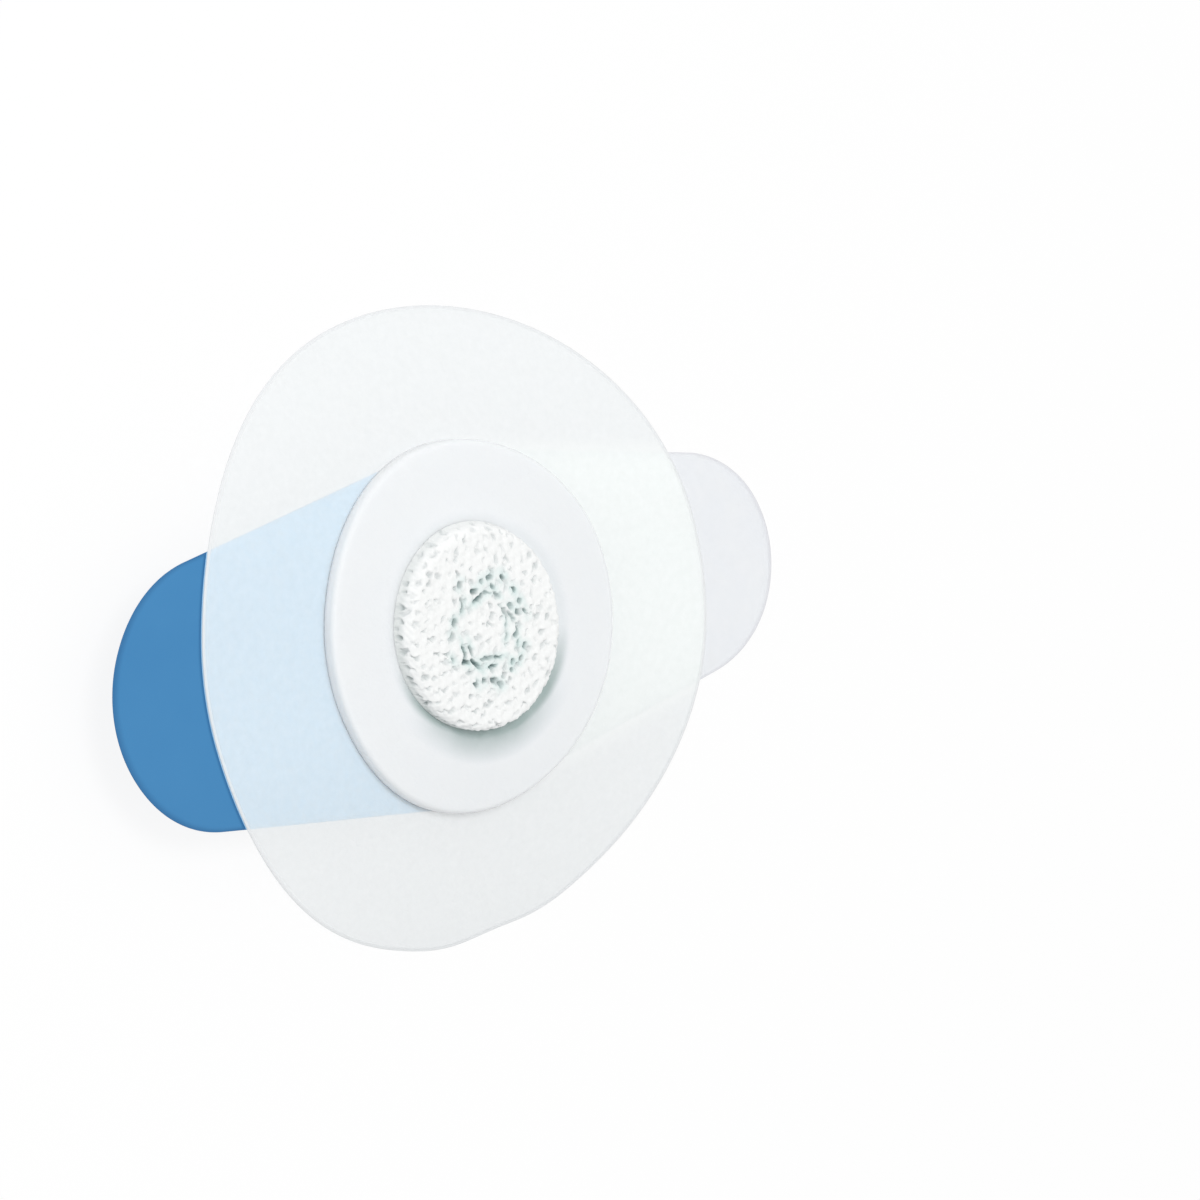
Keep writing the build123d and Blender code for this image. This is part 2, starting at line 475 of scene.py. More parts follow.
def foam_material(foam):
    """Closed-cell foam, painted lighter down its cut outer wall and at its foot to offset the shade
    there, and darker round the hole with gel tint and the sponge's painted shadow.
    """
    material, place = new_material("white_foam")
    cloud_colour = (0.91, 0.925, 0.94)
    bubbles = place.add(
        "ShaderNodeTexVoronoi", {"feature": "SMOOTH_F1"},
        {"Vector": place, "Scale": 1 / foam.bubble}, "Distance")
    cloud = place.noise(size=0.0025, detail=3.0)
    height = place.mesh_value("height")
    # Painted light: the lower cut outer wall is paler, and its foot paler still, to offset the shade
    # along the wall and where it meets the film
    foot = 1 - height.rise(foam.thickness * 0.20, foam.thickness * 0.55)
    low = 1 - height.rise(foam.thickness * 0.45, foam.thickness * 0.85)
    wall = (1 - place.mesh_value("inset").rise(foam.rounding * 0.5, foam.rounding)) * low
    # Painted shadow: gel tint and the sponge's shadow darken the foam round the hole
    wetted_and_shaded = place.mesh_value("wetted_and_shaded") * cloud.between(0.75, 1.25)
    colour = (cloud * 0.5).blend(foam.colour, cloud_colour)
    colour = wetted_and_shaded.blend(colour, foam.gel_colour)
    colour = wall.blend(colour, foam.wall_painted_light_colour)
    finish_material(place, {
        "Base Color": (foot * wall).blend(colour, foam.foot_painted_light_colour),
        "Roughness": cloud.between(0.62, 0.82),
        "Subsurface Weight": 0.6,
        "Subsurface Radius": (1.0, 1.0, 1.0),
        "Subsurface Scale": foam.glow_depth,
        "Normal": (bubbles + cloud * 0.5).bump(height=0.000022),
    })
    return material


def sponge_material(sponge):
    """White sponge with painted shade in its grey cells and, with the gel soak, down its wall; dark and
    glossy where cells open onto the sensor.
    """
    material, place = new_material("wet_sponge")
    lint = place.noise(size=0.00016, detail=3.0)
    cloud = place.noise(size=0.0013, detail=3.0)
    wet = place.mesh_value("wet")
    gel = place.mesh_value("gel")
    # Gel soak with painted shade, darker down the wall towards its foot and less towards +X
    soaked_and_shaded = place.mesh_value("soak_and_shade") * cloud.between(0.25, 0.85)
    pit = place.mesh_value("pit") * lint.between(0.5, 1.1)
    colour = (gel * cloud.rise(0.25, 0.6)).blend(sponge.colour, sponge.gel_colour)
    colour = soaked_and_shaded.blend(colour, sponge.soaked_and_shaded_colour)
    # Painted shade in the common cells
    colour = pit.blend(colour, sponge.cell_floor_shade_colour)
    finish_material(place, {
        "Base Color": wet.blend(colour, sponge.wet_colour),
        "Roughness": 0.72 - wet * 0.45 - gel * 0.12,
        "Normal": (lint + cloud * 0.4).bump(height=0.00003),
    })
    return material


def sensor_material(sensor):
    """Silver chloride, with bare silver showing through in patches."""
    material, place = new_material("silver_chloride")
    patch = place.noise(size=0.0008, detail=4.0)
    grain = place.noise(size=0.00005, detail=2.0)
    finish_material(place, {
        "Base Color": patch.rise(0.45, 0.75).blend(sensor.colour, sensor.bright_colour),
        "Roughness": patch.between(0.42, 0.72),
        "Metallic": patch.rise(0.5, 0.8) * 0.5,
        "Normal": (grain + patch).bump(height=0.000008),
    })
    return material


def steel_material(stud):
    """Plated steel with fine drawing lines round the stud's axis, and duller patches."""
    material, place = new_material("nickel_plated_steel")
    x = place.add("ShaderNodeSeparateXYZ", None, {"Vector": place}, "X")
    y = x.output("Y")
    out = place.maths("SQRT", x * x + y * y)
    # Only the distance from the axis and the height count, so each line runs all the way round
    section = place.add("ShaderNodeCombineXYZ", None, {"X": out, "Z": x.output("Z")})
    lines = section.noise(size=stud.line_spacing, detail=2.0)
    stain = place.noise(size=0.0014, detail=4.0)
    scuff = place.noise(size=0.00025, detail=3.0)
    finish_material(place, {
        "Base Color": stain.rise(0.45, 0.75).blend(stud.colour, stud.stain_colour),
        "Roughness": lines.between(0.16, 0.30) + stain * 0.12,
        "Metallic": 1.0,
        "Normal": (lines + scuff * 0.4).bump(height=0.000004),
    })
    return material


def add_piece(name, points, faces, values, material, node):
    """Makes a smooth mesh piece that stands for one CAD node and rides on the part."""
    mesh = bpy.data.meshes.new(name)
    mesh.from_pydata(points.tolist(), [], faces)
    for attribute, numbers in values.items():
        layer = mesh.attributes.new(attribute, "FLOAT", "POINT")
        layer.data.foreach_set("value", np.ascontiguousarray(numbers, dtype=np.float32))
    mesh.shade_smooth()
    mesh.materials.append(material)
    piece = bpy.data.objects.new(name, mesh)
    bpy.context.scene.collection.objects.link(piece)
    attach(piece, "root")
    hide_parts(node)
    return piece


def smooth_step(low, high, value):
    """Goes smoothly from 0 to 1 as the value goes from low to high."""
    share = np.clip((value - low) / (high - low), 0, 1)
    return share * share * (3 - 2 * share)


def bent(flat):
    """Lays flat points (along X, across, height over the film's face) on the film's curl.

    Past the foam ring a few slow waves round the stud's axis lift and lower what is free.
    """
    film = bpy.context.scene.electrode_film
    foam = bpy.context.scene.electrode_foam
    along, across, height = flat.T
    out = np.hypot(along, across)
    turn = np.arctan2(across, along)
    free = smooth_step(foam.diameter / 2, film.diameter / 2, out)
    waves = np.sin(3 * turn + 0.8) + 0.7 * np.sin(5 * turn + 2.1)
    height = height + film.ripple * free * waves
    angle = np.maximum(np.abs(across) - film.clamped, 0) / film.bend_radius
    reach = film.bend_radius + height
    y = np.sign(across) * (np.minimum(np.abs(across), film.clamped) + reach * np.sin(angle))
    z = FILM_FACE + height - reach * (1 - np.cos(angle))
    return np.column_stack([along, y, np.maximum(z, TABLE)])


def draped(plan):
    """Puts points (X, Y in the part's frame, height over the film's face) on the curl, cut upright."""
    film = bpy.context.scene.electrode_film
    past = np.maximum(np.abs(plan[:, 1]) - film.clamped, 0)
    z = FILM_FACE - film.bend_radius + np.sqrt((film.bend_radius + plan[:, 2]) ** 2 - past ** 2)
    return np.column_stack([plan[:, :2], z])


def circle_outline(radius, count):
    """Points round a circle."""
    turn = np.linspace(0, 2 * pi, count, endpoint=False)
    return radius * np.column_stack([np.cos(turn), np.sin(turn)])


def label_outline(root_radius, tab_radius, offset, count):
    """Points round a root disc at the middle and a tab disc at an offset along X, with their tangents.

    Half of the points lie round the root, a quarter round the tab and an eighth on each tangent.
    """
    lean = asin((root_radius - tab_radius) / abs(offset))
    root_turn = np.linspace(pi / 2 - lean, 3 * pi / 2 + lean, count // 2)
    tab_turn = np.linspace(-pi / 2 + lean, pi / 2 - lean, count // 4)
    root = root_radius * np.column_stack([np.cos(root_turn), np.sin(root_turn)])
    tab = tab_radius * np.column_stack([np.cos(tab_turn), np.sin(tab_turn)])
    tab[:, 0] += abs(offset)
    share = np.linspace(0, 1, count // 8 + 2)[1:-1, None]
    lower = root[-1] + share * (tab[0] - root[-1])
    upper = tab[-1] + share * (root[0] - tab[-1])
    outline = np.vstack([root, lower, tab, upper])
    if offset < 0:
        outline = outline[::-1] * (-1, 1)
    return outline


def layer_profile(low, high, rings):
    """Section of a layer: (share of the way out, shift, height), round from the hole's upper edge."""
    share = np.linspace(0, 1, rings)
    rounding = (high - low) * EDGE_SHARE
    half = (high - low) / 2
    middle = (high + low) / 2
    turn = np.linspace(pi / 2, -pi / 2, EDGE_POINTS)[1:-1]
    edge = [(1.0, -rounding * (1 - cos(t)), middle + half * sin(t)) for t in turn]
    upper = [(s, -rounding * (s == 1), high) for s in share]
    lower = [(s, -rounding * (s == 1), low) for s in share[::-1]]
    return upper + edge + lower


def layer_mesh(outline, hole, profile):
    """Flat points, faces and inset from the outline of a closed layer round the stud's axis."""
    out = np.hypot(*outline.T)
    ray = outline / out[:, None]
    points = []
    insets = []
    for share, shift, height in profile:
        reach = hole + share * (out - hole) + shift
        points.append(np.column_stack([ray * reach[:, None], np.full(len(out), height)]))
        insets.append(out - reach)
    count = len(outline)
    rows = len(profile)
    faces = []
    for row in range(rows):
        here = row * count
        after = (row + 1) % rows * count
        for i in range(count):
            j = (i + 1) % count
            faces.append((here + i, after + i, after + j, here + j))
    return np.vstack(points), faces, np.concatenate(insets)


class ELECTRODE_OT_film(bpy.types.Operator):
    """Makes the milky carrier film, curled, slightly rippled and buckled at one place"""
    bl_idname = "electrode.film"
    bl_label = "Film"

    def execute(self, context):
        film = context.scene.electrode_film
        profile = layer_profile(-film.thickness, 0.0, FILM_RINGS)
        flat, faces, inset = layer_mesh(self.outline(film), HOLE_RADIUS, profile)
        values = {"inset": inset, "backed": self.backed(flat, context.scene.electrode_labels)}
        piece = add_piece(
            "film", bent(flat), faces, values, film_material(film), "backing_film")
        piece.visible_shadow = False
        return {"FINISHED"}

    def outline(self, film):
        """The cut edge, drawn in at the kink and standing out a little on each side of it."""
        # Waves in a full turn, and the angle over which they die away from the kink
        waves = 12
        spread = 0.28
        edge = circle_outline(film.diameter / 2, ROUND_POINTS)
        past_kink = np.arctan2(edge[:, 1], edge[:, 0]) - film.kink_turn
        kink = film.kink * np.cos(waves * past_kink) * np.exp(-(past_kink / spread) ** 2)
        return edge * (1 - kink[:, None] / (film.diameter / 2))

    def backed(self, flat, labels):
        """1 on the film over the clear label, fading softly past the label's outline."""
        share = np.clip(flat[:, 0] / labels.clear_offset, 0, 1)
        half_width = (labels.root_diameter * (1 - share) + labels.clear_diameter * share) / 2
        across = smooth_step(-0.002, 0.001, half_width - np.abs(flat[:, 1]))
        return across * smooth_step(0.0, 0.1, share)


class ELECTRODE_OT_labels(bpy.types.Operator):
    """Makes the blue and the clear tab label, glued under the film"""
    bl_idname = "electrode.labels"
    bl_label = "Labels"

    def execute(self, context):
        labels = context.scene.electrode_labels
        film = context.scene.electrode_film
        top = -film.thickness - labels.glue
        self.add_label(labels, labels.blue_diameter, -labels.blue_offset, top,
                       blue_material(labels), "blue_label", "blue_tab_label")
        top -= labels.thickness + labels.glue
        clear = self.add_label(labels, labels.clear_diameter, labels.clear_offset, top,
                               clear_material(labels), "clear_label", "clear_tab_label")
        clear.visible_shadow = False
        return {"FINISHED"}

    def add_label(self, labels, tab_diameter, offset, top, material, slot, node):
        """Makes one label, whose points carry their distance past the film's edge and their side."""
        film = bpy.context.scene.electrode_film
        outline = label_outline(labels.root_diameter / 2, tab_diameter / 2, offset, LABEL_POINTS)
        profile = layer_profile(top - labels.thickness, top, LABEL_RINGS)
        flat, faces, inset = layer_mesh(outline, HOLE_RADIUS, profile)
        past = np.hypot(*flat[:, :2].T) - film.diameter / 2
        front = flat[:, 2] > top - 0.1 * labels.thickness
        values = {"inset": inset, "past_film": past, "front": front}
        piece = add_piece(slot, bent(flat), faces, values, material, node)
        return piece


class ELECTRODE_OT_foam_ring(bpy.types.Operator):
    """Makes the die-cut foam ring round the sponge"""
    bl_idname = "electrode.foam_ring"
    bl_label = "Foam ring"

    def execute(self, context):
        foam = context.scene.electrode_foam
        hole_radius = foam.hole_diameter / 2
        outline = circle_outline(foam.diameter / 2, ROUND_POINTS)
        outline *= np.where(outline > 0, foam.stretch_high, foam.stretch_low)
        profile = self.profile(foam, context.scene.electrode_labels.glue)
        flat, faces, inset = layer_mesh(outline, hole_radius, profile)
        flat[:, :2] *= self.wander(flat)[:, None]
        out = np.hypot(*flat[:, :2].T)
        # The painted shadow reaches further where the sponge's shadow falls, towards +X and -Y
        drift = np.maximum(flat[:, :2] @ foam.shadow_drift, 0) / out
        wetted_and_shaded = self.wetted_and_shaded(out - hole_radius - drift, -flat[:, 1] / out, foam)
        flat[:, :2] += SPONGE_MIDDLE
        values = {"inset": inset, "height": flat[:, 2], "wetted_and_shaded": wetted_and_shaded}
        piece = add_piece("foam_ring_pad", draped(flat), faces, values, foam_material(foam),
                          "foam_ring")
        return {"FINISHED"}

    def wander(self, flat):
        """Scale of each point's reach, which makes the cut edges slightly uneven."""
        depth = 0.0012
        turn = np.arctan2(flat[:, 1], flat[:, 0])
        waves = np.sin(9 * turn) + np.sin(23 * turn + 1.7) + np.sin(41 * turn + 0.4)
        return 1 - depth * (waves + 3) / 6

    def wetted_and_shaded(self, past, side, foam):
        """Strength of the gel tint and the sponge's painted shadow round the hole, which reach out
        furthest towards -Y, where side is 1.
        """
        haze_strength = 0.12
        # A dark line along the hole and a soft margin paint the shadow on the -Y side; a faint haze of
        # it goes all round
        line = 1 - smooth_step(foam.gel_and_shadow_line * 0.08, foam.gel_and_shadow_line, past)
        margin = np.clip(1 - past / foam.gel_margin, 0, 1)
        haze = haze_strength * (1 - smooth_step(0, foam.gel_and_shadow_line, past))
        run = np.maximum(line * smooth_step(0.05, 0.75, side), margin * smooth_step(0.5, 1.1, side))
        return np.maximum(run, haze)

    def profile(self, foam, glue):
        """Section of the ring: rounded upper edges, straight walls, edges pressed into the glue."""
        turn = np.linspace(0, pi / 2, RING_EDGE_RINGS)
        band = (foam.diameter - foam.hole_diameter) / 2
        high = glue + foam.thickness
        seat = 0.15 * glue
        r = foam.hole_rounding
        points = [(0.0, r * (1 - sin(t)), high - r * (1 - cos(t))) for t in turn[::-1]]
        r = foam.rounding
        face = np.linspace(foam.hole_rounding, band - foam.rounding, RING_FACE_RINGS)[1:-1]
        points += [(reach / band, 0.0, high) for reach in face]
        points += [(1.0, -r * (1 - sin(t)), high - r * (1 - cos(t))) for t in turn]
        walls = np.linspace(high - r, seat, RING_WALL_RINGS)[1:]
        points += [(1.0, 0.0, height) for height in walls]
        points += [(0.5, 0.0, glue)]
        points += [(0.0, 0.0, height) for height in walls[::-1]]
        return points


class ELECTRODE_OT_sponge(bpy.types.Operator):
    """Makes the open-cell sponge, dark where its cells open onto the sensor"""
    bl_idname = "electrode.sponge"
    bl_label = "Sponge"

    def execute(self, context):
        sponge = context.scene.electrode_sponge
        sensor = context.scene.electrode_sensor
        across = SPONGE_GRID
        face_radius = sponge.diameter / 2 - sponge.edge_rounding
        wall_start = face_radius + sponge.edge_rounding * pi / 2
        face, faces, rim = self.disc(wall_start, across)
        ray = face[rim] / wall_start
        count = len(rim)
        wall = self.wall_height(ray, sponge)
        rows = [face]
        start = rim
        total = len(face)
        for share in np.linspace(0, 1, SPONGE_WALL_RINGS)[1:]:
            rows.append(ray * (wall_start + share * wall)[:, None])
            total, start = self.stitch(faces, start, total, count)
        unrolled = np.vstack(rows)
        pit, wet, gel, relief = self.cells(unrolled, sponge, sensor)
        sunk = sponge.cell_depth * pit + sponge.wet_depth * wet + relief
        points = [self.wrapped(unrolled, sunk, sponge)]
        ring = points[0][-count:]
        roof = FILM_FACE + sensor.flange_height + sensor.clearance
        recess = sensor.flange_diameter / 2 + sensor.clearance
        middle = 0.0005
        for reach, height in ((recess, ring[:, 2]), (recess, roof), (middle, roof)):
            total, start = self.stitch(faces, start, total, count)
            points.append(np.column_stack([ray * reach, np.full(count, height)]))
        faces.append(tuple(start[::-1]))
        under = np.zeros(3 * count)
        values = {
            "pit": np.append(pit, under),
            "wet": np.append(wet, under),
            "gel": np.append(gel, under),
            "soak_and_shade": np.append(self.soaked_and_shaded(unrolled, wall_start), under),
        }
        piece = add_piece("sponge", np.vstack(points), faces, values, sponge_material(sponge),
                          "gel_sponge")
        return {"FINISHED"}

    def disc(self, radius, across):
        """An even grid of points over a disc, its faces, and its rim in order."""
        line = np.linspace(-1, 1, across)
        a, b = (axis.ravel() for axis in np.meshgrid(line, line, indexing="ij"))
        wide = np.abs(a) >= np.abs(b)
        reach = np.where(wide, a, b)
        other = np.where(wide, b, a)
        part = np.divide(other, reach, out=np.zeros_like(other), where=reach != 0)
        turn = np.where(wide, part * pi / 4, pi / 2 - part * pi / 4)
        points = radius * np.column_stack([reach * np.cos(turn), reach * np.sin(turn)])
        index = np.arange(across * across).reshape(across, across)
        corners = (index[:-1, :-1], index[1:, :-1], index[1:, 1:], index[:-1, 1:])
        faces = np.stack([c.ravel() for c in corners], axis=1).tolist()
        rim = np.concatenate([index[:, 0], index[-1, 1:], index[-2::-1, -1], index[0, -2:0:-1]])
        return points, faces, rim

    def stitch(self, faces, start, total, count):
        """Joins a ring of points to the one after it, and returns the new end and that ring."""
        after = np.arange(total, total + count)
        for i in range(count):
            j = (i + 1) % count
            faces.append((int(start[i]), int(after[i]), int(after[j]), int(start[j])))
        return total + count, after

    def wall_height(self, ray, sponge):
        """Height of the wall under the rounded edge, for each direction from the middle."""
        glue = bpy.context.scene.electrode_labels.glue
        foot = np.column_stack([ray * sponge.diameter / 2 + SPONGE_MIDDLE, np.full(len(ray), glue)])
        return SPONGE_HIGH.z - sponge.edge_rounding - draped(foot)[:, 2]

    def over_ring(self, height):
        """Share of the way from the ring's face to the sponge's face, at a height in the frame."""
        glue = bpy.context.scene.electrode_labels.glue
        low = FILM_FACE + glue + bpy.context.scene.electrode_foam.thickness
        return np.clip((height - low) / (SPONGE_HIGH.z - low), 0, 1)

    def wrapped(self, unrolled, sunk, sponge):
        """Lays unrolled points over the face, its rounded edge and the wall, sunk along the normal."""
        rounding = sponge.edge_rounding
        face_radius = sponge.diameter / 2 - rounding
        along = np.hypot(*unrolled.T)
        ray = unrolled / np.maximum(along, 1e-9)[:, None]
        turn = np.clip((along - face_radius) / rounding, 0, pi / 2)
        down = np.maximum(along - face_radius - rounding * pi / 2, 0)
        height = SPONGE_HIGH.z - rounding + (rounding - sunk) * np.cos(turn) - down
        stand = self.over_ring(height)
        sunk = sunk * smooth_step(0.0, 0.2, stand)
        out = np.minimum(along, face_radius) + (rounding - sunk) * np.sin(turn)
        bulge = sponge.bulge * smooth_step(-0.1, 0.75, -ray[:, 1])
        swell = sponge.swell * (1 - stand) ** 2 + bulge * np.sin(pi * stand ** 0.6)
        place = ray * (out + np.sin(turn) * swell)[:, None] + SPONGE_MIDDLE
        place[:, 0] -= sponge.squeeze * stand * unrolled[:, 0] / (sponge.diameter / 2)
        return np.column_stack([place + stand[:, None] * sponge.lean, height])

    def soaked_and_shaded(self, unrolled, wall_start):
        """Strength of the gel soak and painted shade down the wall, which is less towards +X and a
        little less towards +Y.
        """
        down = np.maximum(np.hypot(*unrolled.T) - wall_start, 0)
        strength = 0.4 - 0.35 * unrolled @ (0.9, 0.4) / wall_start
        return np.clip(smooth_step(-0.0001, 0.0006, down) * strength, 0, 1)

    def cells(self, points, sponge, sensor):
        """Shares of common pit, wet cell and gel at each unrolled point, and the depth of its lumps."""
        gel_margin = 0.0006
        scatter = np.random.default_rng(sponge.seed)
        # Common cells, all over the face and the wall
        seeds = self.spiral(np.hypot(*points.T).max(), sponge, scatter)
        count = len(seeds)
        sizes = sponge.cell_diameter / 2 * scatter.uniform(0.5, 1.3, count)
        warped = points + self.wander(points, scatter, sponge.cell_diameter * 0.22)
        leans = self.random_leans(seeds, scatter)
        stretches = scatter.uniform(1.0, 1.8, count) + 0.4 * self.drawn(seeds)
        strengths = scatter.uniform(0.25, 1.0, count)
        pit = self.mouths(warped, seeds, sizes, strengths, leans, stretches, softness=0.8)
        # Cells that open onto the sensor's flange, and the gel round their mouths
        seeds = self.wet_seeds(sponge, sensor, scatter)
        foot_seeds = self.foot_seeds(sponge, scatter)
        count = len(seeds)
        sizes = sponge.wet_diameter / 2 * scatter.uniform(0.7, 1.25, count)
        strengths = scatter.uniform(0.45, 1.0, count)
        from_middle = seeds - sponge.wet_offset
        leans = np.arctan2(from_middle[:, 1], from_middle[:, 0]) + pi / 2
        leans += scatter.normal(0, 0.35, count)
        inner = 1 - smooth_step(0.65, 0.85, np.hypot(*from_middle.T) / sensor.flange_diameter * 2)
        stretches = scatter.uniform(1.0, 1.4, count) + inner * scatter.uniform(0.4, 1.6, count)
        warped = (warped + points) / 2
        wet = self.mouths(warped, seeds, sizes, strengths, leans, stretches, softness=0.6)
        sizes += gel_margin
        gel = self.mouths(warped, seeds, sizes, strengths + 0.3, leans, stretches, softness=1.0)
        # Row of wet cells at the foot of the wall
        count = len(foot_seeds)
        sizes = sponge.wet_diameter / 2 * scatter.uniform(0.6, 1.1, count)
        strengths = scatter.uniform(0.3, 0.65, count)
        upright = np.zeros(count)
        round_mouths = np.ones(count)
        foot = self.mouths(
            warped, foot_seeds, sizes, strengths, upright, round_mouths, softness=0.7)
        relief = self.wander(points, scatter, sponge.lumps)[:, 0]
        wet = np.maximum(wet, foot)
        return np.maximum(pit - wet, 0), wet, gel, relief - relief.min()

    def spiral(self, radius, sponge, scatter):
        """Middles for the common cells, along a sunflower spiral and a little out of place."""
        crowding = 1.25
        golden_turn = pi * (3 - 5 ** 0.5)
        count = int((radius / sponge.cell_spacing) ** 2 * crowding)
        turn = np.arange(count) * golden_turn
        reach = radius * np.sqrt((np.arange(count) + 0.5) / count)
        seeds = np.column_stack([reach * np.cos(turn), reach * np.sin(turn)])
        return seeds + scatter.normal(0, 0.28 * sponge.cell_spacing, seeds.shape)

    def wet_seeds(self, sponge, sensor, scatter):
        """Scattered middles for the cells that open onto the sensor's flange, fewer towards -X."""
        seeds = []
        gap = sponge.wet_diameter * 1.2
        while len(seeds) < sponge.wet_cells:
            reach = scatter.uniform(0.50, 1.08) * sensor.flange_diameter / 2
            turn = scatter.uniform(-pi, pi)
            share_kept = 1.0 if -0.88 * pi < turn < 0.78 * pi else 0.02
            kept = scatter.uniform() < share_kept
            seed = np.array([reach * cos(turn), reach * sin(turn)]) + sponge.wet_offset
            if kept and all(np.hypot(*(seed - other)) > gap for other in seeds):
                seeds.append(seed)
        return np.array(seeds)

    def foot_seeds(self, sponge, scatter):
        """Middles for a row of wet cells low on the wall, on its -X side, on the unrolled sponge."""
        turn = np.arange(radians(150), radians(245), radians(8.5))
        turn += scatter.normal(0, radians(1.8), len(turn))
        wall_start = sponge.diameter / 2 + (pi / 2 - 1) * sponge.edge_rounding
        reach = wall_start + scatter.uniform(0.0001, 0.0006, len(turn))
        return np.column_stack([reach * np.cos(turn), reach * np.sin(turn)])

    def wander(self, points, scatter, size):
        """A gentle warp, made of waves in random directions, that makes the mouths irregular."""
        waves_per_length = 4
        radians_per_metre = (5200.0, 8300.0, 12100.0)
        shift = np.zeros_like(points)
        for wave in radians_per_metre:
            heading = scatter.uniform(-pi, pi, waves_per_length)
            start = scatter.uniform(-pi, pi, waves_per_length)
            for i in range(waves_per_length):
                phase = wave * (points @ (cos(heading[i]), sin(heading[i]))) + start[i]
                shift[:, i % 2] += np.sin(phase)
        return shift * size / len(radians_per_metre)

    def drawn(self, seeds):
        """How far the cells are drawn out into strokes, which they are towards -X and -Y."""
        return smooth_step(0.0, 0.006, -seeds.sum(axis=1))

    def random_leans(self, seeds, scatter):
        """Directions of the cells, more alike where the cells are drawn out."""
        return scatter.uniform(-pi / 2, pi / 2, len(seeds)) * (1 - 0.8 * self.drawn(seeds))

    def mouths(self, points, seeds, sizes, strengths, leans, stretches, softness):
        """Share of the way into the nearest oval mouth, 1 at its floor."""
        # How far from its middle a mouth counts, as a share of its half width
        widest = 3.5
        deep = np.zeros(len(points))
        for seed, size, strength, lean, stretch in zip(seeds, sizes, strengths, leans, stretches):
            near = np.flatnonzero(np.abs(points - seed).max(axis=1) < size * widest)
            away = points[near] - seed
            along = away @ (cos(lean), sin(lean)) / stretch
            beside = away @ (-sin(lean), cos(lean)) * stretch ** 0.5
            reach = np.hypot(along, beside) / size
            mouth = 1 - smooth_step(1 - softness, 1 + softness * 0.3, reach)
            deep[near] = np.maximum(deep[near], strength * mouth)
        return deep


class ELECTRODE_OT_sensor(bpy.types.Operator):
    """Finishes the sensor eyelet in silver chloride"""
    bl_idname = "electrode.sensor"
    bl_label = "Sensor"

    def execute(self, context):
        coat(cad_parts["sensor_eyelet"], sensor_material(context.scene.electrode_sensor))
        return {"FINISHED"}


class ELECTRODE_OT_stud(bpy.types.Operator):
    """Finishes the snap stud in nickel-plated steel"""
    bl_idname = "electrode.stud"
    bl_label = "Stud"

    def execute(self, context):
        coat(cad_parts["snap_stud"], steel_material(context.scene.electrode_stud))
        return {"FINISHED"}


def coat(piece, material):
    """Gives a CAD node's every slot one material."""
    if not piece.material_slots:
        piece.data.materials.append(material)
    for place in piece.material_slots:
        place.material = material


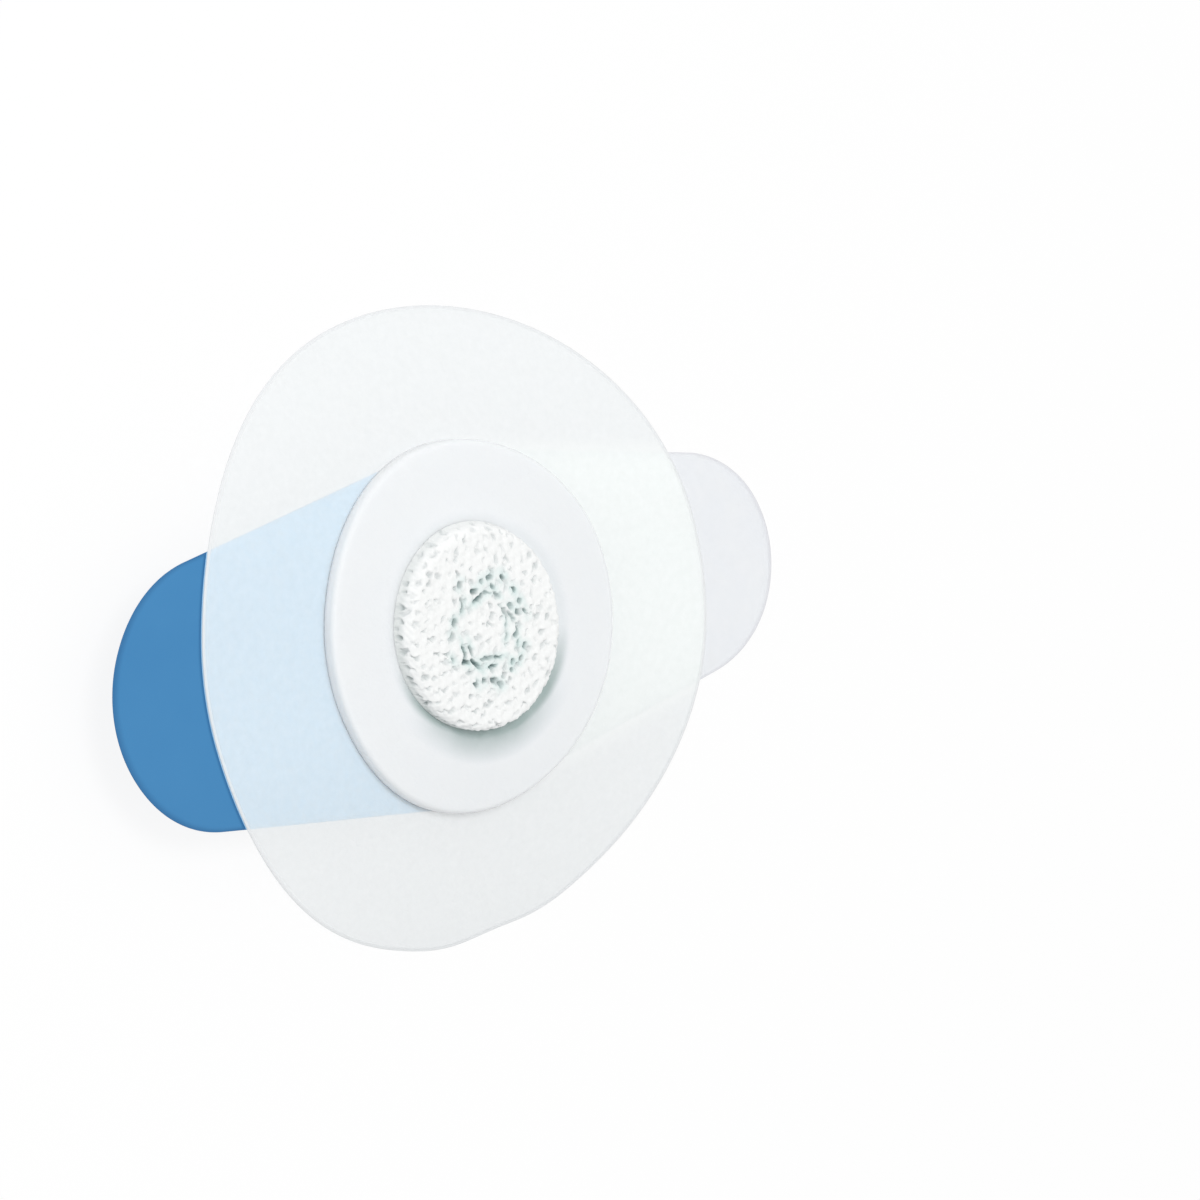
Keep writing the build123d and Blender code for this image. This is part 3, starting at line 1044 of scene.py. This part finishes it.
class ELECTRODE_OT_stage(bpy.types.Operator):
    """Makes the floor, the light and the camera"""
    bl_idname = "electrode.stage"
    bl_label = "Stage"

    def execute(self, context):
        stage = context.scene.electrode_stage
        self.add_floor(stage)
        self.light_sky(stage)
        self.add_lamp(stage)
        self.add_camera(stage)
        context.scene.view_settings.view_transform = "Standard"
        return {"FINISHED"}

    def seen(self, place):
        """1 for what the camera sees, by itself or in a reflection or through glass."""
        direct = place.add("ShaderNodeLightPath", None, None, "Is Camera Ray")
        glossy = direct.output("Is Glossy Ray")
        through = direct.output("Is Transmission Ray")
        return place.maths("MINIMUM", direct + glossy + through, 1.0)

    def add_floor(self, stage):
        """A wide floor just under the part, which shows its shadow and otherwise looks white."""
        reach = 3.0
        gap = 0.00002
        material, place = new_material("pale_floor")
        colour = place.noise(size=0.02, detail=2.0).blend(stage.floor_colour, WHITE)
        diffuse = place.add("ShaderNodeBsdfDiffuse", None, {"Color": colour})
        glow = place.add("ShaderNodeEmission", None, {"Color": WHITE, "Strength": 1.0})
        mixed = place.add("ShaderNodeMixShader", None, {
            "Fac": self.seen(place) * stage.floor_glow,
            "Shader": diffuse,
            "Shader_001": glow,
        })
        place.add("ShaderNodeOutputMaterial", None, {"Surface": mixed})
        corners = [(-reach, -reach, 0), (reach, -reach, 0), (reach, reach, 0), (-reach, reach, 0)]
        mesh = bpy.data.meshes.new("floor")
        mesh.from_pydata(corners, [], [(0, 1, 2, 3)])
        mesh.materials.append(material)
        floor = bpy.data.objects.new("floor", mesh)
        floor.location.z = TABLE - gap
        bpy.context.scene.collection.objects.link(floor)

    def light_sky(self, stage):
        """Even light from all round, which the camera sees as plain white."""
        world = bpy.data.worlds.new("sky")
        world.use_nodes = True
        tree = world.node_tree
        tree.nodes.clear()
        place = Shade(tree)
        strength = stage.sky + self.seen(place) * (1 - stage.sky)
        sky = place.add("ShaderNodeBackground", None, {"Color": WHITE, "Strength": strength})
        place.add("ShaderNodeOutputWorld", None, {"Surface": sky})
        bpy.context.scene.world = world

    def add_lamp(self, stage):
        """One round soft lamp, high over the -X and +Y side."""
        toward = Vector((-0.26, 0.36, 0.89)).normalized()
        away = 0.62
        data = bpy.data.lights.new("soft_lamp", "AREA")
        data.shape = "DISK"
        data.size = 0.28
        data.energy = stage.lamp
        lamp = bpy.data.objects.new("soft_lamp", data)
        lamp.location = Vector(stage.aim) + away * toward
        lamp.rotation_euler = toward.to_track_quat("Z", "Y").to_euler()
        bpy.context.scene.collection.objects.link(lamp)

    def add_camera(self, stage):
        """The camera, aimed at the middle of the picture and rolled as the photograph is."""
        flat = cos(stage.elevation)
        back = Vector((sin(stage.azimuth) * flat, -cos(stage.azimuth) * flat, sin(stage.elevation)))
        level = Vector((0, 0, 1)).cross(back).normalized()
        upright = back.cross(level)
        right = cos(stage.roll) * level + sin(stage.roll) * upright
        up = back.cross(right)
        data = bpy.data.cameras.new("camera")
        data.sensor_width = 36.0
        data.lens = stage.lens
        data.clip_start = 0.01
        data.clip_end = 20.0
        camera = bpy.data.objects.new("camera", data)
        turn = Matrix((right, up, back)).transposed().to_4x4()
        camera.matrix_world = Matrix.Translation(Vector(stage.aim) + stage.distance * back) @ turn
        bpy.context.scene.collection.objects.link(camera)
        bpy.context.scene.camera = camera


OPERATORS = (
    ELECTRODE_OT_stage,
    ELECTRODE_OT_film,
    ELECTRODE_OT_labels,
    ELECTRODE_OT_foam_ring,
    ELECTRODE_OT_sponge,
    ELECTRODE_OT_sensor,
    ELECTRODE_OT_stud,
)

SETTINGS = {
    "electrode_film": FilmSettings,
    "electrode_labels": LabelSettings,
    "electrode_foam": FoamSettings,
    "electrode_sponge": SpongeSettings,
    "electrode_sensor": SensorSettings,
    "electrode_stud": StudSettings,
    "electrode_stage": StageSettings,
}


class ELECTRODE_PT_panel(bpy.types.Panel):
    """Lists the electrode's pieces and their settings"""
    bl_idname = "ELECTRODE_PT_panel"
    bl_label = "Electrode"
    bl_space_type = "VIEW_3D"
    bl_region_type = "UI"
    bl_category = "Electrode"

    def draw(self, context):
        for operator in OPERATORS:
            self.layout.operator(operator.bl_idname)
        for name, group in SETTINGS.items():
            box = self.layout.box()
            box.label(text=name.replace("_", " "))
            settings = getattr(context.scene, name)
            for field in group.__annotations__:
                box.prop(settings, field)


def register():
    for group in SETTINGS.values():
        bpy.utils.register_class(group)
    for name, group in SETTINGS.items():
        setattr(bpy.types.Scene, name, PointerProperty(type=group))
    for operator in OPERATORS:
        bpy.utils.register_class(operator)
    bpy.utils.register_class(ELECTRODE_PT_panel)


def unregister():
    bpy.utils.unregister_class(ELECTRODE_PT_panel)
    for operator in reversed(OPERATORS):
        bpy.utils.unregister_class(operator)
    for name, group in SETTINGS.items():
        delattr(bpy.types.Scene, name)
        bpy.utils.unregister_class(group)


def main():
    register()
    bpy.ops.electrode.stage()
    bpy.ops.electrode.film()
    bpy.ops.electrode.labels()
    bpy.ops.electrode.foam_ring()
    bpy.ops.electrode.sponge()
    bpy.ops.electrode.sensor()
    bpy.ops.electrode.stud()


if __name__ == "__main__":
    main()
